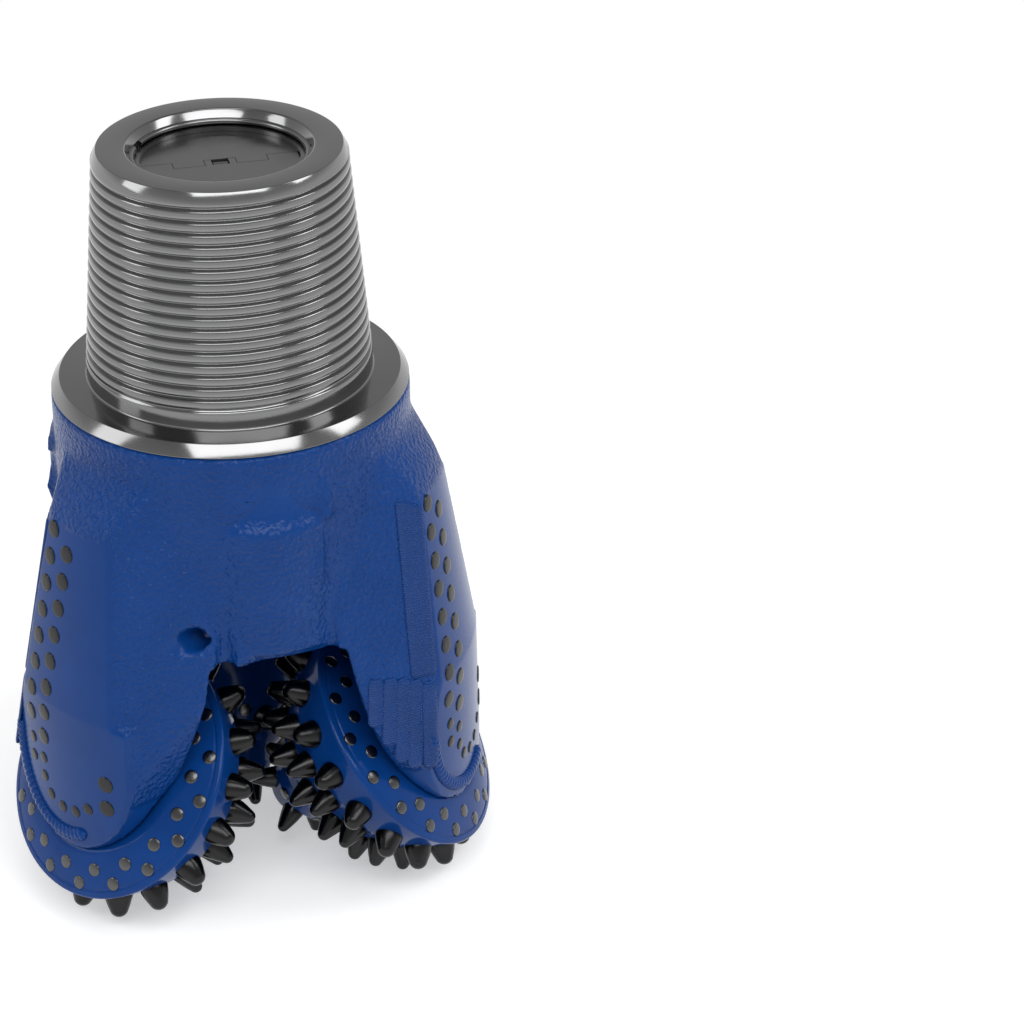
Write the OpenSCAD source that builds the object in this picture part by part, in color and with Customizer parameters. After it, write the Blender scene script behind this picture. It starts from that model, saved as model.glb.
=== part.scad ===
// Three-cone rotary drill bit for blast holes: a threaded pin, three forged legs with their
// journals, three insert-studded cones on open roller bearings, three air jets and a
// two-flap back-flow valve in the bore. Lengths in millimetres, +Z towards the drill string,
// origin where the axis meets the shoulder face. Leg 1 faces -Y.

/* [Pin and shoulder] */
// Length of the tapered pin above the shoulder face
pin_len = 127; // [122:1:140]
// Crest diameter of the pin at the shoulder
pin_base_d = 152.2; // [146:0.1:158]
// Length over which the pin narrows by one millimetre in diameter
pin_taper_ratio = 6; // [5:0.5:8]
// Plain cylindrical length at the root of the pin
pin_plain_len = 8.5; // [5:0.5:14]
// Height of the chamfer at the top of the pin
pin_chamfer_h = 5.4; // [3:0.2:8]
// Radial width of the chamfer at the top of the pin
pin_chamfer_w = 2.9; // [1:0.1:5]
// Diameter of the flat make-up shoulder
shoulder_d = 181.6; // [176:0.2:186]
// Height of the bevel under the shoulder
shoulder_bevel_h = 6.3; // [3:0.1:9]
// Diameter of the neck under the shoulder
neck_d = 191.2; // [188:0.2:196]
// Diameter of the valve pocket in the pin
pocket_d = 92; // [91:0.2:94]
// Depth of the valve pocket below the top of the pin
pocket_depth = 67; // [64:1:72]
// Diameter of the mouth of the bore, outside its chamfer
bore_mouth_d = 98; // [96:0.5:104]
// Height of the chamfer at the mouth of the bore
bore_mouth_h = 4.5; // [2:0.5:5]
// Diameter of the air chamber below the valve
chamber_d = 76; // [70:1:80]
// Depth of the air chamber below the shoulder face
chamber_depth = 88; // [84:1:94]

/* [Legs] */
// Diameter of the hole that the bit cuts
gauge_d = 279.4; // [279:0.2:281]
// Depth at which the neck starts to flare into the legs
neck_end = 28; // [24:1:32]
// Depth of the top edge of the leg backs
leg_top = 57; // [54:1:60]
// Radius of the leg back at its top edge
leg_top_r = 113; // [111:0.5:116]
// Depth of the line where the leg back turns steeper
leg_bend = 158; // [152:1:164]
// Radius of the leg back at that line
leg_bend_r = 130; // [128:0.5:131]
// Gap between the wall of the hole and the tip of a leg
leg_tip_gap = 7.4; // [6:0.2:8]
// Depth of the roof over the cones
roof_depth = 128; // [126:1:132]
// Radius of the rounded skirt around the journal
skirt_r = 48.5; // [46:0.5:50]
// Sideways shift of the skirt from the journal
skirt_shift = -3.5; // [-5:0.5:0]
// Angle at which the skirt widens upwards
skirt_flare = 20; // [15:1:24]

/* [Jets] */
// Radius of the boss that holds a jet
boss_r = 38; // [36:0.5:40]
// Distance of the boss from the axis of the bit
boss_place_r = 65.5; // [63:0.5:67]
// Depth of the rim at the top of the boss
boss_rim = 48; // [44:1:52]
// Outward tilt of the jet
jet_tilt = 15; // [12:1:18]
// Distance of the jet's mouth from the axis of the bit
jet_place_r = 79; // [77:0.5:81]
// Outer diameter of the jet nozzle
jet_d = 27; // [25:0.5:29]
// Length of the jet nozzle
jet_len = 34; // [32:1:38]
// Diameter of the hole in the jet nozzle
jet_hole_d = 11; // [8:0.5:14]
// Diameter of the pin that locks the nozzle
lock_pin_d = 7; // [6:0.5:8]

/* [Journal and bearings] */
// Tilt of the journals below the horizontal
journal_angle = 37.8; // [37.4:0.1:38.2]
// Depth at which the journals' axes pass the axis of the bit
journal_depth = 284.6; // [284:0.2:286]
// Sideways offset of a journal from the axis of the bit
cone_offset = -3; // [-4:0.5:-1]
// Distance along the journal to the face of the leg
leg_face = 128.5; // [128.2:0.1:129]
// Diameter of the journal under the main rollers
main_track_d = 56; // [54:0.5:57]
// Diameter of a main roller, and of a ball
roller_d = 11; // [10:0.1:11.4]
// Length of the main rollers
roller_len = 20; // [18:0.5:20.5]
// Number of main rollers in a cone
roller_count = 18; // [14:1:18]
// Number of balls in a cone
ball_count = 18; // [14:1:18]
// Diameter of the nose pin of the journal
nose_pin_d = 31; // [29:0.5:32]
// Diameter of a nose roller
nose_roller_d = 6; // [5.5:0.1:6]
// Length of the nose rollers
nose_roller_len = 15; // [12:0.5:16]
// Number of nose rollers in a cone
nose_roller_count = 18; // [14:1:18]
// Diameter of the thrust button in the end of the nose pin
thrust_button_d = 20; // [16:0.5:22]
// Radial play of every roller and ball
bearing_play = 0.08; // [0.05:0.01:0.1]

/* [Cones and inserts] */
// Distance along the journal to the back of a cone
cone_back = 127.5; // [127:0.1:127.7]
// Radius of the back of a cone
cone_back_r = 51; // [49:0.5:52]
// Distance along the journal to the widest edge of a cone
cone_edge = 118.8; // [118.4:0.1:119.2]
// Radius of a cone at its widest edge
cone_edge_r = 73; // [72.4:0.1:73.4]
// Diameter of the cutting inserts
insert_d = 15.4; // [14:0.1:15.8]
// Depth to which the cutting inserts are pressed in
insert_grip = 10.5; // [9:0.5:11]
// Height of the domed gauge inserts above the cone
dome_reach = 12.5; // [11:0.5:13.5]
// Height of the conical inserts above the cone
cone_reach = 14; // [12:0.5:14.5]
// Diameter of the inserts on the noses of the cones
nose_insert_d = 12.4; // [11:0.1:13]
// Depth to which the inserts on the noses are pressed in
nose_insert_grip = 7; // [5:0.5:8]
// Radius of the tip of the conical inserts
insert_tip_r = 3.4; // [2.5:0.1:4]
// Number of inserts in each of the two outer rows
outer_count = 17; // [15:1:17]
// Diameter of the small flush buttons in the cones
button_d = 7.4; // [6:0.2:7.8]
// Depth to which the small flush buttons are pressed in
button_grip = 4.5; // [3.5:0.5:4.5]

/* [Leg buttons] */
// Diameter of the large buttons on the back of a leg
leg_button_d = 9.6; // [8:0.2:10.4]
// Diameter of the small buttons above the skirt
skirt_button_d = 6.6; // [5.6:0.2:7.4]
// Depth to which the leg buttons are pressed in
leg_button_grip = 7; // [5:0.5:9]
// Number of large buttons in each of the two columns
column_count = 8; // [5:1:8]
// Distance between large buttons down a column
column_pitch = 16; // [15:0.5:16.5]

/* [Back-flow valve] */
// Depth of the valve's flaps below the top of the pin
flap_depth = 10; // [9.5:0.5:12]
// Thickness of the flaps
flap_t = 6; // [5:0.5:7]
// Diameter of the opening in the valve's seat
seat_d = 83; // [80:0.5:84]
// Diameter of the flaps when closed
flap_d = 87.2; // [86:0.1:87.4]
// Diameter of the hinge pin
hinge_pin_d = 3.2; // [2.6:0.1:3.6]
// Diameter of the knuckles on the hinge pin
knuckle_d = 7; // [6.4:0.2:7.2]
// Angle to which the flaps open
flap_travel = 65; // [50:1:65]
// Turn of the hinge line about the axis of the bit
hinge_turn = -33; // [-45:1:-20]

/* [Hidden] */
$fn = 72;

PAINT = [0.07, 0.24, 0.55];
STEEL = [0.66, 0.67, 0.68];
CARBIDE = [0.13, 0.13, 0.14];
// Angle from one leg to the next
LEG_TURN = 120;
// A length that reaches past everything it cuts
FAR = 400;
// A length that reaches out of the side of a boss
LONG = 120;

// Pin
pin_base_r = pin_base_d / 2;
pin_top_r = pin_base_r - (pin_len - pin_plain_len) / pin_taper_ratio / 2;
neck_r = neck_d / 2;
chamber_r = chamber_d / 2;
chamber_rounding = 12;

// Bearings: every track keeps the same ratio of inner to outer radius, so that the rollers
// and balls of a cone go round together
main_track_r = main_track_d / 2;
roller_r = roller_d / 2 - bearing_play;
main_race_r = main_track_r + roller_d;
pitch_r = main_track_r + roller_d / 2;
nose_track_r = nose_pin_d / 2;
nose_race_r = nose_track_r + nose_roller_d;
nose_pitch_r = nose_track_r + nose_roller_d / 2;
side_play = 0.4;
flange_t = 4;
track_end = leg_face - flange_t;
track_start = track_end - roller_len - 2 * side_play;
ball_place = track_start - 12.5;
land_start = ball_place - 7;
land_play = 1.5;
nose_end = land_start - nose_roller_len - 5;
cone_end = nose_end - 2;
thrust_button_grip = 4;
thrust_gap = 0.1;

// The ball hole runs from the top of the ball track back through the journal
ball_hole_tilt = 48.5;
ball_hole_r = roller_d / 2 + 0.3;
ball_hole_len = 70;

// Surface of the cones, as place along the journal and radius
edge_land_angle = 18;
second_land_angle = 34;
gauge_place = cone_edge - 16.8;
gauge_row_r = cone_edge_r - (cone_edge - gauge_place) * tan(edge_land_angle);
outer_break = cone_edge - 23.5;
outer_break_r = cone_edge_r - (cone_edge - outer_break) * tan(edge_land_angle);
second_place = cone_edge - 31.8;
second_row_r = outer_break_r - (outer_break - second_place) * tan(second_land_angle);
outer_end = second_place - 6.6;
outer_end_r = second_row_r - (second_place - outer_end) * tan(second_land_angle);
heel_angle = -atan2(cone_edge_r - cone_back_r, cone_back - cone_edge);

// Nose side of the three cones, from the outer rows to the axis. Each band is sunk where the
// inserts of the neighbouring cones pass.
NOSE_1 = [[55.5, 80.4], [51, 79.2], [48.5, 77.5], [43.5, 69], [43.8, 66.6], [42.6, 65.4],
    [31.8, 50.5], [29.6, 48.8], [22, 40], [19, 33], [14, 30]];
NOSE_2 = [[55.3, 80.4], [53.2, 78.8], [43.9, 66.2], [39.5, 64.2], [31.5, 57], [26.8, 50],
    [24.2, 44], [23.2, 41], [13, 28], [9, 25], [7, 24.4]];
NOSE_3 = [[55.5, 80.4], [51, 79], [36, 60.5], [33.6, 58], [33.2, 53], [21, 37.5], [17, 34.6],
    [15.6, 31.5], [13, 24], [11, 21], [9.4, 16]];
NOSES = [NOSE_1, NOSE_2, NOSE_3];

// Rows of inserts: place along the journal, radius, angle of the land, count, turn
OUTER_STEP = 180 / outer_count;
GAUGE_ROW = [gauge_place, gauge_row_r, edge_land_angle, outer_count, 0];
SECOND_ROW = [second_place, second_row_r, second_land_angle, outer_count, OUTER_STEP];
// Inner rows of each cone
ROWS_1 = [[58, 37.3, 36, 10, 18]];
ROWS_2 = [[73, 48.9, 37, 14, 0]];
ROWS_3 = [[44.6, 26.5, 38, 7, 0]];
INNER_ROWS = [ROWS_1, ROWS_2, ROWS_3];
// Rows of the narrower inserts on the noses
NOSE_ROWS = [[], [[35, 18.3, 38, 5, 0]], [[16, 0, 90, 1, 0]]];
// Small flush buttons between the inserts of the innermost rows
FLUSH_ROWS = [[52.2, 32.9, 36, 10, 0], [40.5, 22.8, 38, 5, 36], [49.4, 30.2, 38, 7, 180 / 7]];

// Two rows of flush buttons on the heel
HEEL_ROWS = [
    [cone_edge + 2.9, cone_edge_r - 7.3, heel_angle, outer_count, OUTER_STEP],
    [cone_edge + 6, cone_edge_r - 15.2, heel_angle, outer_count, 0]
];

// Lock pins: length and how far the pin passes the grip on the nozzle
lock_pin_len = 48;
lock_pin_end = 4;

// Leg
leg_tip_r = gauge_d / 2 - leg_tip_gap;
// The slope that softens the top edge of the leg backs
top_slope_w = 4.7;
top_slope_h = 10.5;
// Flanks of a leg: azimuth, distance from the axis of the bit at the shoulder, and slope
lead_flank_angle = -53;
lead_flank_reach = 74.9;
lead_flank_slope = 0.2;
trail_flank_angle = 48.3;
trail_flank_reach = 80.7;
trail_flank_slope = 0.169;
seam_angle = 18;
third_angle = 60;
boss_angle = 60;
// How far the cutters of the button pockets reach out of the metal
pocket_over = 5;
button_proud = 0.4;

// Valve
pocket_r = pocket_d / 2;
seat_r = seat_d / 2;
flap_r = flap_d / 2;
knuckle_r = knuckle_d / 2;
hinge_z = pin_len - flap_depth - knuckle_r;
knuckle_gap = 0.3;
sleeve_play = 0.1;
seat_t = 2.4;
knuckle_count = 5;
knuckle_len = 2 * (seat_r - 0.4) / knuckle_count;
spring_len = 9;
snap_r = 1.7;
snap_groove_r = snap_r + 0.1;
snap_z = pin_len - flap_depth + seat_t + snap_groove_r;

// Turns a child to one of the three legs
module turn(k) {
    rotate([0, 0, k * LEG_TURN]) children();
}

// Puts a child on the journal: its Z runs up the journal, its -Y faces the hole's bottom
module at_journal() {
    translate([cone_offset, 0, -journal_depth]) rotate([90 - journal_angle, 0, 0]) children();
}

// Puts a child on the jet: its Z runs up the jet from the mouth
module at_jet() {
    rotate([0, 0, boss_angle]) translate([0, -jet_place_r, -roof_depth])
        rotate([-jet_tilt, 0, 0]) children();
}

// Everything on the near side of a plane that faces an azimuth and leans by a slope
module behind_plane(azimuth, reach, slope) {
    rotate([0, 0, azimuth]) translate([0, -reach, 0]) rotate([-atan(slope), 0, 0])
        translate([-FAR, 0, -FAR]) cube([2 * FAR, FAR, 2 * FAR]);
}

// PIN_SHANK: the turned pin and the shoulder
module pin_shank() color(STEEL) difference() {
    rotate_extrude() polygon([
        [0, -shoulder_bevel_h],
        [neck_r, -shoulder_bevel_h],
        [shoulder_d / 2, 0],
        [pin_base_r, 0],
        [pin_base_r, pin_plain_len],
        [pin_top_r + pin_chamfer_h / pin_taper_ratio / 2, pin_len - pin_chamfer_h],
        [pin_top_r - pin_chamfer_w, pin_len],
        [0, pin_len]
    ]);
    translate([0, 0, -FAR]) cylinder(r = chamber_r, h = FAR + pin_len);
    translate([0, 0, pin_len - pocket_depth]) cylinder(r = pocket_r, h = FAR);
    translate([0, 0, pin_len - bore_mouth_h])
        cylinder(r1 = pocket_r, r2 = bore_mouth_d / 2, h = bore_mouth_h);
    translate([0, 0, snap_z]) rotate_extrude() translate([pocket_r - 0.4, 0]) circle(r = snap_groove_r);
}

// LEG: one forged third of the body with its journal
module leg_outside() {
    rotate_extrude() polygon([
        [0, -shoulder_bevel_h],
        [neck_r, -shoulder_bevel_h],
        [neck_r, -neck_end],
        [leg_top_r - top_slope_w, -leg_top + top_slope_h],
        [leg_top_r, -leg_top],
        [leg_bend_r, -leg_bend],
        [leg_tip_r, -journal_depth],
        [0, -journal_depth]
    ]);
}

// Outline of the leg seen along the journal: a wedge that widens upwards from the round skirt
module skirt_wedge() {
    // The wedge starts a little inside the round skirt, so that its flanks cut it cleanly
    inset = 0.5;
    foot_x = (skirt_r - inset) * cos(skirt_flare);
    foot_y = -(skirt_r - inset) * sin(skirt_flare);
    rise = 230;
    polygon([
        [-foot_x, foot_y],
        [foot_x, foot_y],
        [foot_x + rise * tan(skirt_flare), foot_y + rise],
        [-foot_x - rise * tan(skirt_flare), foot_y + rise]
    ]);
}

// The corner pad that stands proud of the trailing flank above the skirt
module corner_pad() {
    at_journal() translate([skirt_shift - skirt_r, -skirt_r, nose_end])
        cube([2 * skirt_r, 3 * skirt_r, FAR]);
}

// The part of an outline along the journal that lies within the leg's back and flanks
module leg_part() {
    intersection() {
        leg_outside();
        behind_plane(lead_flank_angle, lead_flank_reach, lead_flank_slope);
        at_journal() linear_extrude(FAR) translate([skirt_shift, 0]) children();
        union() {
            behind_plane(trail_flank_angle, trail_flank_reach, trail_flank_slope);
            intersection() {
                corner_pad();
                translate([-FAR, -FAR, -leg_bend - FAR]) cube([2 * FAR, FAR, FAR]);
            }
        }
        translate([-FAR, -FAR, -FAR]) cube([2 * FAR, FAR, FAR]);
    }
}

module leg_arm() {
    leg_part() circle(r = skirt_r);
    leg_part() skirt_wedge();
}

// Room for a cone under the roof: the flat leg face, then a cone that opens outwards
module cone_room() {
    open_slope = 0.65;
    face_r = cone_back_r + 1;
    intersection() {
        at_journal() rotate_extrude() polygon([
            [0, -FAR],
            [0, leg_face],
            [face_r, leg_face],
            [face_r + FAR, leg_face + FAR * open_slope],
            [face_r + FAR, -FAR]
        ]);
        translate([-FAR, -FAR, -roof_depth - FAR]) cube([2 * FAR, 2 * FAR, FAR]);
    }
}

module core() {
    translate([0, 0, -roof_depth]) cylinder(r = neck_r, h = roof_depth - shoulder_bevel_h);
}

// The boss of a jet, a round column with a steep shelf at its top
module jet_boss() {
    shelf_w = 7;
    shelf_top = 25 - boss_rim;
    intersection() {
        rotate([0, 0, boss_angle]) translate([0, -boss_place_r, 0]) rotate_extrude() polygon([
            [0, -FAR],
            [boss_r, -FAR],
            [boss_r, -boss_rim],
            [boss_r - shelf_w, shelf_top],
            [0, shelf_top]
        ]);
        at_jet() translate([-FAR, -FAR, 0]) cube([2 * FAR, 2 * FAR, FAR]);
    }
}

// The grooves where the boss meets the flanks beside it
module boss_grooves() {
    groove_r = 5;
    groove_turn = 17.2;
    groove_out = 5.4;
    for (side = [-1, 1])
        rotate([0, 0, boss_angle + side * groove_turn]) translate([0, -neck_r - groove_out, -roof_depth - FAR])
            cylinder(r = groove_r, h = FAR + roof_depth - boss_rim);
}

// The journal with its nose pin, ball groove, main track and flange
module journal() {
    flange_r = main_race_r - 3;
    rotate_extrude() difference() {
        polygon([
            [0, nose_end],
            [nose_track_r - 1, nose_end],
            [nose_track_r, nose_end + 1],
            [nose_track_r, land_start],
            [pitch_r - land_play, land_start],
            [pitch_r - land_play, track_start],
            [main_track_r, track_start],
            [main_track_r, track_end],
            [flange_r, track_end],
            [flange_r, leg_face + 6],
            [0, leg_face + 6]
        ]);
        ball_section();
    }
}

// Section of the groove that the balls run in
module ball_section() {
    translate([pitch_r, ball_place]) circle(r = roller_d / 2 + bearing_play);
}

// The slanted hole that the balls are loaded through
module ball_hole() {
    translate([0, pitch_r, ball_place]) rotate([ball_hole_tilt, 0, 0]) cylinder(r = ball_hole_r, h = ball_hole_len);
}

module chamber() {
    translate([0, 0, -chamber_depth]) rotate_extrude() polygon([
        [0, 0],
        [chamber_r - chamber_rounding, 0],
        [chamber_r, chamber_rounding],
        [chamber_r, chamber_depth + 1],
        [0, chamber_depth + 1]
    ]);
}

// Pocket of the nozzle and the passage that feeds it from the chamber
module jet_passage() {
    feed_r = 10;
    feed_over = 9;
    feed_rise = 26;
    feed_lean = 58;
    feed_len = 54;
    at_jet() {
        translate([0, 0, -1]) cylinder(r = jet_d / 2, h = jet_len + 1);
        cylinder(r = feed_r, h = jet_len + feed_over);
    }
    rotate([0, 0, boss_angle]) translate([0, -chamber_r / 2, -chamber_depth + feed_rise])
        rotate([180 - feed_lean, 0, 0]) cylinder(r = feed_r, h = feed_len);
}

// Puts a child where the lock pin grips the side of the nozzle: its Z runs inwards
module lock_pin_place() {
    rise = 17;
    turn_in = 34;
    grip_r = jet_d / 2 - 1.5;
    rotate([0, 0, boss_angle])
        translate([0, -jet_place_r + rise * tan(jet_tilt) + grip_r / cos(turn_in), rise - roof_depth])
        rotate([0, 0, turn_in]) rotate([0, 90, 0]) children();
}

// Hole of the lock pin with its wide mouth
module lock_pin_hole() {
    mouth_r = 6.4;
    mouth_floor = 36;
    lock_pin_place() {
        translate([0, 0, -LONG]) cylinder(r = lock_pin_d / 2, h = LONG + lock_pin_end + 1);
        translate([0, 0, -LONG]) cylinder(r = mouth_r, h = LONG - mouth_floor);
    }
}

module third() {
    half = third_angle;
    linear_extrude(2 * FAR, center = true) polygon([
        [0, 0],
        for (a = [-half : half / 2 : half]) [FAR * sin(a + seam_angle), -FAR * cos(a + seam_angle)]
    ]);
}

module leg(k) color(PAINT) turn(k) difference() {
    union() {
        difference() {
            intersection() {
                third();
                union() {
                    core();
                    leg_arm();
                    jet_boss();
                }
            }
            cone_room();
            boss_grooves();
        }
        at_journal() journal();
    }
    chamber();
    jet_passage();
    lock_pin_hole();
    at_journal() ball_hole();
    at_journal() translate([0, 0, nose_end - 1]) cylinder(r = thrust_button_d / 2, h = thrust_button_grip + 1);
    leg_button_set(pocket_over);
}

// LEG_BUTTONS: flush carbide buttons on the back of a leg
// Radius of the leg back at a depth
function back_r(depth) = depth > leg_bend
    ? leg_bend_r + (leg_tip_r - leg_bend_r) * (depth - leg_bend) / (journal_depth - leg_bend)
    : leg_top_r + (leg_bend_r - leg_top_r) * (depth - leg_top) / (leg_bend - leg_top);

// Lean of the leg back at a depth
function back_lean(depth) = depth > leg_bend
    ? atan((leg_tip_r - leg_bend_r) / (journal_depth - leg_bend))
    : atan((leg_bend_r - leg_top_r) / (leg_bend - leg_top));

// Depth on the leg back of a point that is seen at x, y along the journal
function back_depth(x, y) = journal_depth
    - (y + sqrt(pow(back_r(leg_bend + 60), 2) - x * x) * sin(journal_angle)) / cos(journal_angle);

// Puts a cylinder square to the leg back, from the given height down to the pocket's floor
module on_leg_back(x, depth, r, height) {
    rotate([0, 0, asin(x / back_r(depth))]) translate([0, -back_r(depth), -depth])
        rotate([90 - back_lean(depth), 0, 0]) translate([0, 0, -leg_button_grip])
        cylinder(r = r, h = leg_button_grip + height);
}

// Two leaning columns of large buttons, small ones below them and round the skirt, and two
// large ones in the trailing corner
module leg_button_set(height) {
    large_r = leg_button_d / 2;
    small_r = skirt_button_d / 2;
    // Sideways places of the two columns at their tops, and how much they lean with depth
    first_x = -18.3;
    second_x = -5.8;
    lean = 0.128;
    first_depth = leg_top + 3.8;
    second_depth = leg_top + 13.4;
    column_len = column_count * column_pitch;
    small_pitch = 11.5;
    // Sideways place and depth of the pair in the trailing corner
    corner_x = 27.9;
    corner_depth = leg_bend + 35;
    corner_pitch = 15;
    // Arc of small buttons round the skirt
    arc_r = skirt_r - 19;
    arc_start = -116;
    arc_step = 21;
    for (i = [0 : column_count - 1]) {
        down = i * column_pitch;
        on_leg_back(first_x - down * lean, first_depth + down, large_r, height);
        on_leg_back(second_x - down * lean, second_depth + down, large_r, height);
    }
    for (i = [0 : 1]) {
        down = column_len + i * small_pitch;
        on_leg_back(first_x + 2.7 - column_len * lean, first_depth + down, small_r, height);
        on_leg_back(second_x + 0.7 - column_len * lean, second_depth + down - 1.6, small_r, height);
        on_leg_back(corner_x, corner_depth + i * corner_pitch, large_r, height);
    }
    for (i = [0 : 3]) {
        a = arc_start + i * arc_step;
        x = arc_r * cos(a) + cone_offset;
        on_leg_back(x, back_depth(x, arc_r * sin(a)), small_r, height);
    }
}

module leg_buttons(k) color(CARBIDE) turn(k) leg_button_set(button_proud);

// JET_NOZZLE: carbide ring in the boss, notched for its lock pin
module jet_nozzle(k) color(CARBIDE) turn(k) difference() {
    at_jet() difference() {
        cylinder(r = jet_d / 2, h = jet_len);
        translate([0, 0, -1]) cylinder(r = jet_hole_d / 2, h = jet_len + 2);
        translate([0, 0, jet_len / 2])
            cylinder(r1 = jet_hole_d / 2, r2 = jet_d / 2 - 3, h = jet_len / 2 + 0.01);
    }
    lock_pin_hole();
}

// NOZZLE_LOCK_PIN: keeps a nozzle in its pocket
module nozzle_lock_pin(k) color(STEEL) turn(k) lock_pin_place()
    translate([0, 0, lock_pin_end - lock_pin_len]) cylinder(r = lock_pin_d / 2, h = lock_pin_len);

// BALL_PLUG: closes the ball hole and keeps the balls in
module ball_plug(k) color(STEEL) turn(k) at_journal() difference() {
    intersection() {
        ball_hole();
        cylinder(r = pitch_r - land_play, h = FAR);
    }
    rotate_extrude() ball_section();
}

// THRUST_BUTTON: takes the end load of the cone
module thrust_button(k) color(STEEL) turn(k) at_journal() translate([0, 0, cone_end + thrust_gap])
    cylinder(r = thrust_button_d / 2, h = nose_end + thrust_button_grip - cone_end - thrust_gap);

// Rollers or balls in a ring
module ring_of(count, r) {
    for (i = [0 : count - 1]) rotate([0, 0, (i + 0.5) * 360 / count]) translate([0, -r, 0]) children();
}

// MAIN_ROLLERS
module main_rollers(k) color(STEEL) turn(k) at_journal() translate([0, 0, track_start + side_play])
    ring_of(roller_count, pitch_r) cylinder(r = roller_r, h = roller_len);

// RETAINING_BALLS
module retaining_balls(k) color(STEEL) turn(k) at_journal() translate([0, 0, ball_place])
    ring_of(ball_count, pitch_r) sphere(r = roller_r);

// NOSE_ROLLERS
module nose_rollers(k) color(STEEL) turn(k) at_journal() translate([0, 0, land_start - nose_roller_len - side_play])
    ring_of(nose_roller_count, nose_pitch_r) cylinder(r = nose_roller_d / 2 - bearing_play, h = nose_roller_len);

// CONE: shell of one cone with its insert holes
function outer_profile() = [
    [cone_back_r, cone_back],
    [cone_edge_r, cone_edge],
    [outer_break_r, outer_break],
    [outer_end_r, outer_end]
];

module cone_blank(k) {
    rotate_extrude() polygon(concat([[0, cone_back]], outer_profile(), NOSES[k], [[0, NOSES[k][10][1]]]));
}

// Inside of a cone: main race, ball land with its groove, nose race and thrust face
module cone_inside() {
    rotate_extrude() union() {
        polygon([
            [0, cone_end],
            [nose_race_r, cone_end],
            [nose_race_r, land_start - side_play],
            [pitch_r + land_play, land_start - side_play],
            [pitch_r + land_play, track_start],
            [main_race_r, track_start],
            [main_race_r, cone_back + 1],
            [0, cone_back + 1]
        ]);
        ball_section();
    }
}

// Puts children on a row: each stands on the land with its Z pointing out of the cone
module on_row(row) {
    for (i = [0 : row[3] - 1]) rotate([0, 0, row[4] + i * 360 / row[3]]) translate([0, -row[1], row[0]])
        rotate([90 + row[2], 0, 0]) children();
}

module insert_hole(r, depth) {
    translate([0, 0, -depth]) cylinder(r = r, h = depth + 8);
}

module cone(k) color(PAINT) turn(k) at_journal() difference() {
    cone_blank(k);
    cone_inside();
    on_row(GAUGE_ROW) insert_hole(insert_d / 2, insert_grip);
    for (row = concat([SECOND_ROW], INNER_ROWS[k])) on_row(row) insert_hole(insert_d / 2, insert_grip);
    for (row = NOSE_ROWS[k]) on_row(row) insert_hole(nose_insert_d / 2, nose_insert_grip);
    for (row = concat(HEEL_ROWS, [FLUSH_ROWS[k]])) on_row(row) insert_hole(button_d / 2, button_grip);
}

// Button that stands a hair proud of the cone
module flush_button() {
    translate([0, 0, -button_grip]) cylinder(r = button_d / 2, h = button_grip + button_proud);
}

// Insert with a straight shank and a domed end
module domed_insert() {
    r = insert_d / 2;
    translate([0, 0, -insert_grip]) cylinder(r = r, h = insert_grip + dome_reach - r);
    translate([0, 0, dome_reach - r]) sphere(r = r);
}

// Insert with a straight shank, a conical end and a rounded tip
module conical_insert(r, grip) {
    shank = 1.5;
    translate([0, 0, -grip]) cylinder(r = r, h = grip + shank);
    translate([0, 0, shank]) cylinder(r1 = r, r2 = insert_tip_r, h = cone_reach - insert_tip_r - shank);
    translate([0, 0, cone_reach - insert_tip_r]) sphere(r = insert_tip_r);
}

// HEEL_BUTTONS
module heel_buttons(k) color(CARBIDE) turn(k) at_journal()
    for (row = concat(HEEL_ROWS, [FLUSH_ROWS[k]])) on_row(row) flush_button();

// GAUGE_INSERTS
module gauge_inserts(k) color(CARBIDE) turn(k) at_journal() on_row(GAUGE_ROW) domed_insert();

// INNER_INSERTS
module inner_inserts(k) color(CARBIDE) turn(k) at_journal() {
    for (row = concat([SECOND_ROW], INNER_ROWS[k])) on_row(row) conical_insert(insert_d / 2, insert_grip);
    for (row = NOSE_ROWS[k]) on_row(row) conical_insert(nose_insert_d / 2, nose_insert_grip);
}

// VALVE_BODY: sleeve with the seat that the flaps close against
module valve_body() color(STEEL) difference() {
    translate([0, 0, pin_len - pocket_depth])
        cylinder(r = pocket_r - sleeve_play, h = pocket_depth - flap_depth + seat_t);
    translate([0, 0, -FAR]) cylinder(r = flap_r + 0.5, h = FAR + pin_len - flap_depth + knuckle_gap / 3);
    cylinder(r = seat_r, h = FAR);
    valve_axis() cylinder(r = hinge_pin_d / 2, h = FAR, center = true);
}

// VALVE_SNAP_RING: holds the valve down in its pocket
module valve_snap_ring() color(STEEL) difference() {
    translate([0, 0, snap_z]) rotate_extrude() translate([pocket_r - 0.4, 0]) circle(r = snap_r);
    rotate([0, 0, -60]) translate([-4, -FAR, 0]) cube([8, FAR, FAR]);
}

// Puts a child on the hinge: its Z runs along the hinge pin
module valve_axis() {
    translate([0, 0, hinge_z]) rotate([0, 0, hinge_turn]) rotate([90, 0, 0]) children();
}

// VALVE_HINGE_PIN
module valve_hinge_pin() color(STEEL) valve_axis()
    cylinder(r = hinge_pin_d / 2, h = 2 * (pocket_r - sleeve_play) - 0.4, center = true);

// VALVE_SPRING: torsion spring on the hinge pin, drawn as touching coils
module valve_spring() color(STEEL) valve_axis() rotate_extrude() {
    coil_r = 0.7;
    ring_r = hinge_pin_d / 2 + 0.9;
    for (i = [-4 : 4]) translate([ring_r, i * coil_r * 1.2]) circle(r = coil_r, $fn = 24);
}

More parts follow.
